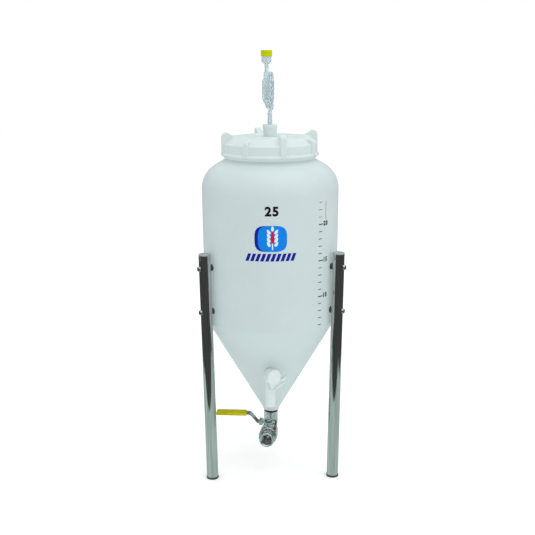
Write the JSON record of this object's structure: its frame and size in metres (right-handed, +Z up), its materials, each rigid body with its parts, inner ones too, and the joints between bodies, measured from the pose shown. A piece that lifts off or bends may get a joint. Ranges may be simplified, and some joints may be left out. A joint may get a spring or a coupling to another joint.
{
  "type": "conical fermenter",
  "caption": "Tall translucent tank with a conical base on tubular legs, with a screw lid, airlock, side tap and a drain ball valve under the cone.",
  "frame": {"origin": "on the tank's axis, at floor level between the feet", "axes": "+Z up; -Y is the front, where the tap and the drain valve point; +X is to the right seen from the front"},
  "size_m": [0.3146, 0.3277, 0.927],
  "materials": {
    "tank_plastic": "translucent natural polyethylene, satin",
    "lid_plastic": "white polyethylene, satin",
    "bung_silicone": "milky silicone",
    "clear_plastic": "clear moulded plastic",
    "cap_plastic": "yellow-green moulded plastic",
    "polished_steel": "polished stainless steel",
    "plug_plastic": "light grey moulded plastic",
    "foot_rubber": "black rubber",
    "fastener_steel": "stainless steel",
    "seal_rubber": "dark silicone rubber",
    "tap_plastic": "white polypropylene",
    "tap_seal_rubber": "pale silicone rubber",
    "red_rubber": "dark red silicone rubber",
    "cast_steel": "investment-cast stainless steel, bead blasted",
    "seat_plastic": "white fluoropolymer",
    "lever_steel": "pressed stainless steel",
    "grip_vinyl": "yellow dipped vinyl"
  },
  "bodies": {
    "stand": {"tank": "tank_plastic", "leg_left": "polished_steel", "leg_right": "polished_steel", "leg_rear": "polished_steel", "end_plug_left": "plug_plastic", "end_plug_right": "plug_plastic", "end_plug_rear": "plug_plastic", "foot_left": "foot_rubber", "foot_right": "foot_rubber", "foot_rear": "foot_rubber", "leg_spacers": "foot_rubber", "leg_bolts": "fastener_steel", "leg_seal_washers": "seal_rubber", "leg_nuts": "fastener_steel", "tap_seal": "tap_seal_rubber", "tap_inner_seal": "tap_seal_rubber", "tap_locknut": "tap_plastic", "tap_body": "tap_plastic", "drain_gasket": "red_rubber", "drain_seal": "seal_rubber", "drain_locknut": "cast_steel", "drain_elbow": "cast_steel", "valve_body": "cast_steel", "valve_end_cap": "cast_steel", "valve_seats": "seat_plastic", "stem_packing": "seat_plastic", "gland_nut": "fastener_steel"},
    "lid_gasket": {"lid_gasket": "seal_rubber"},
    "lid": {"lid": "lid_plastic"},
    "bung": {"bung": "bung_silicone"},
    "airlock": {"airlock_body": "clear_plastic"},
    "airlock_cap": {"airlock_cap": "cap_plastic"},
    "valve_lever": {"valve_ball": "polished_steel", "valve_stem": "fastener_steel", "valve_lever": "lever_steel", "lever_grip": "grip_vinyl", "lever_nut": "fastener_steel"},
    "lever_lock": {"lever_lock": "lever_steel"},
    "tap_knob": {"tap_plug": "tap_plastic", "tap_knob": "tap_plastic"}
  },
  "joints": [
    {"name": "lid_rise", "type": "slide", "parent": "stand", "child": "lid_gasket", "axis": [0, 0, 1], "range_m": [0, 0.0121]},
    {"name": "lid_turn", "type": "hinge", "parent": "lid_gasket", "child": "lid", "pos_m": [0, 0, 0.72], "axis": [0, 0, 1], "range_deg": [0, 540]},
    {"name": "bung_pull", "type": "slide", "parent": "lid", "child": "bung", "axis": [0, 0, 1], "range_m": [0, 0.045]},
    {"name": "airlock_pull", "type": "slide", "parent": "bung", "child": "airlock", "axis": [0, 0, 1], "range_m": [0, 0.045]},
    {"name": "cap_pull", "type": "slide", "parent": "airlock", "child": "airlock_cap", "axis": [0, 0, 1], "range_m": [0, 0.02]},
    {"name": "valve_turn", "type": "hinge", "parent": "stand", "child": "valve_lever", "pos_m": [-0.00634, -0.05161, 0.0902], "axis": [0, 0, 1], "range_deg": [0, 90]},
    {"name": "lock_slide", "type": "slide", "parent": "valve_lever", "child": "lever_lock", "axis": [-0.9969, 0.0785, 0], "range_m": [0, 0.003]},
    {"name": "tap_turn", "type": "hinge", "parent": "stand", "child": "tap_knob", "pos_m": [-0.00187, -0.10698, 0.2475], "axis": [-0.4772, 0.8788, 0], "range_deg": [0, 90]}
  ],
  "couplings": [
    {"joint": "lid_rise", "follows": "lid_turn", "m_per_rad": 0.0012732}
  ]
}
